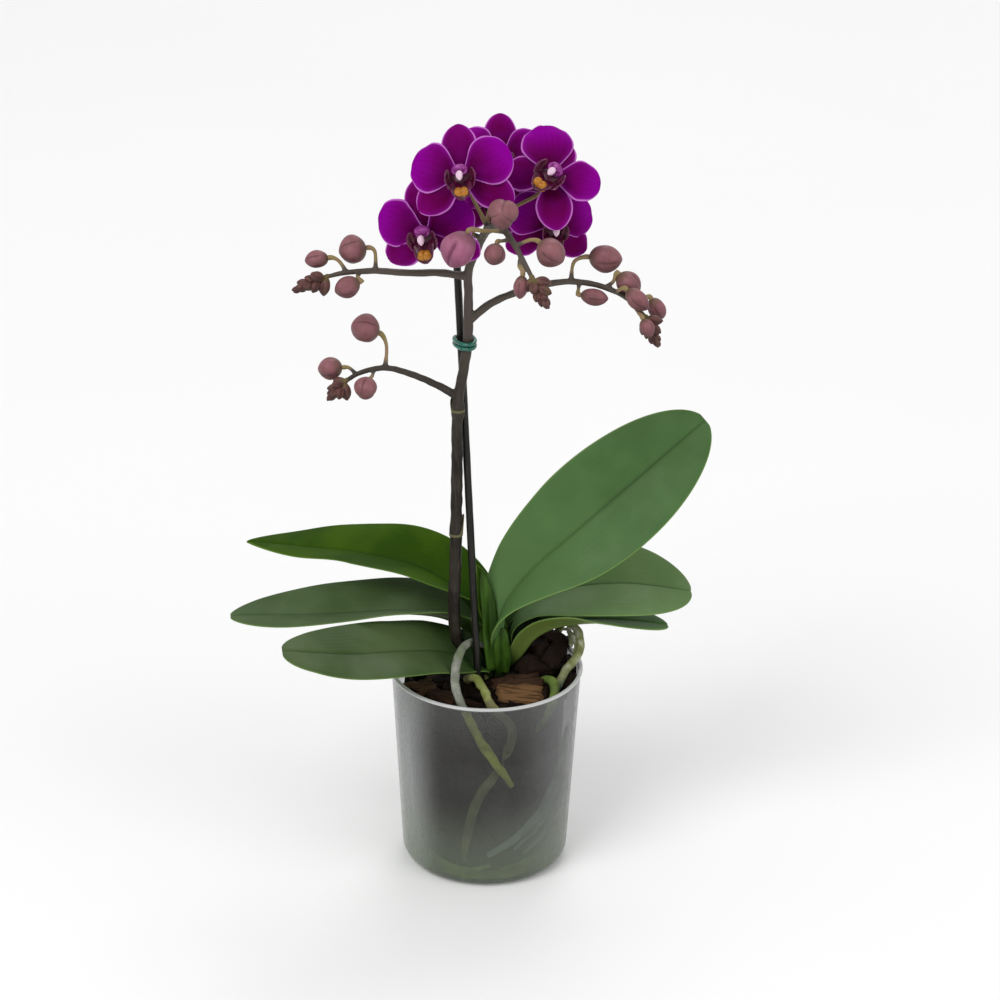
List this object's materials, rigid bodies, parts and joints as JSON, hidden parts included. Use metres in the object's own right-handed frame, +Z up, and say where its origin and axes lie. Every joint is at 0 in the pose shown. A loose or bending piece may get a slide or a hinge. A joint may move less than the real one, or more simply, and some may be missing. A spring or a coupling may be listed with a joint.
{
  "type": "potted orchid",
  "caption": "Moth orchid in a clear plastic grow pot, with broad strap leaves, aerial roots, and a branching flower spike tied to a stake, in bloom and in bud.",
  "frame": {"origin": "centre of the flat underside of the pot", "axes": "+Z up the plant, -Y towards the side that the blooms face, +X to the right of someone who looks at the blooms"},
  "size_m": [0.2194, 0.1236, 0.3703],
  "materials": {
    "pot": "translucent milky grey, smooth",
    "bark": "rough broken bark, dark brown with orange-brown chips",
    "root_silver": "dry silvery root skin",
    "root_green": "moist olive green root skin",
    "crown": "waxy pale green leaf sheaths",
    "leaf": "waxy mid green with a thin yellow-green edge",
    "leaf_young": "waxy deep green",
    "stem": "dull dark brown, yellow-green on the flower stalks",
    "stake": "near-black, satin",
    "tie": "dark green coated wire",
    "petal": "velvety magenta-purple with a thin pale edge",
    "column": "pale pink, satin",
    "lip": "glossy dark maroon with an orange callus",
    "bud": "dull mauve-pink bud skin",
    "bud_opening": "pale pink bud about to open",
    "bud_young": "dull brown-pink bud skin"
  },
  "bodies": {
    "root": {"pot": "pot", "bark": "bark", "root_front_silver": "root_silver", "root_front_green": "root_green", "root_right_loop": "root_green", "root_right_green": "root_green", "root_foot_ring": "root_green", "root_back": "root_green", "crown": "crown", "leaf_left_low": "leaf", "leaf_left_middle": "leaf", "leaf_left_high": "leaf", "leaf_right_low": "leaf", "leaf_right_middle": "leaf", "leaf_right_high": "leaf", "leaf_centre_young": "leaf_young", "flower_spike": "stem", "stake": "stake", "tie": "tie", "bud_left_low_1": "bud", "bud_left_low_2": "bud", "bud_left_low_3": "bud", "bud_left_high_1": "bud", "bud_left_high_2": "bud", "bud_left_high_3": "bud", "bud_right_1": "bud", "bud_right_2": "bud", "bud_right_3": "bud", "bud_right_4": "bud", "bud_right_5": "bud", "bud_right_6": "bud", "bud_front_top": "bud", "bud_front_left": "bud", "bud_front_right": "bud", "bud_front_low": "bud", "bud_front_opening": "bud_opening", "bud_tip_left_low": "bud_young", "bud_tip_left_high": "bud_young", "bud_tip_right": "bud_young", "bud_tip_front": "bud_young", "bloom_front_left_tepals": "petal", "bloom_front_left_column": "column", "bloom_front_left_lip": "lip", "bloom_right_tepals": "petal", "bloom_right_column": "column", "bloom_right_lip": "lip", "bloom_back_top_tepals": "petal", "bloom_back_top_column": "column", "bloom_back_top_lip": "lip", "bloom_left_low_tepals": "petal", "bloom_left_low_column": "column", "bloom_left_low_lip": "lip", "bloom_right_low_tepals": "petal", "bloom_right_low_column": "column", "bloom_right_low_lip": "lip", "bloom_middle_tepals": "petal", "bloom_middle_column": "column", "bloom_middle_lip": "lip"}
  },
  "joints": []
}
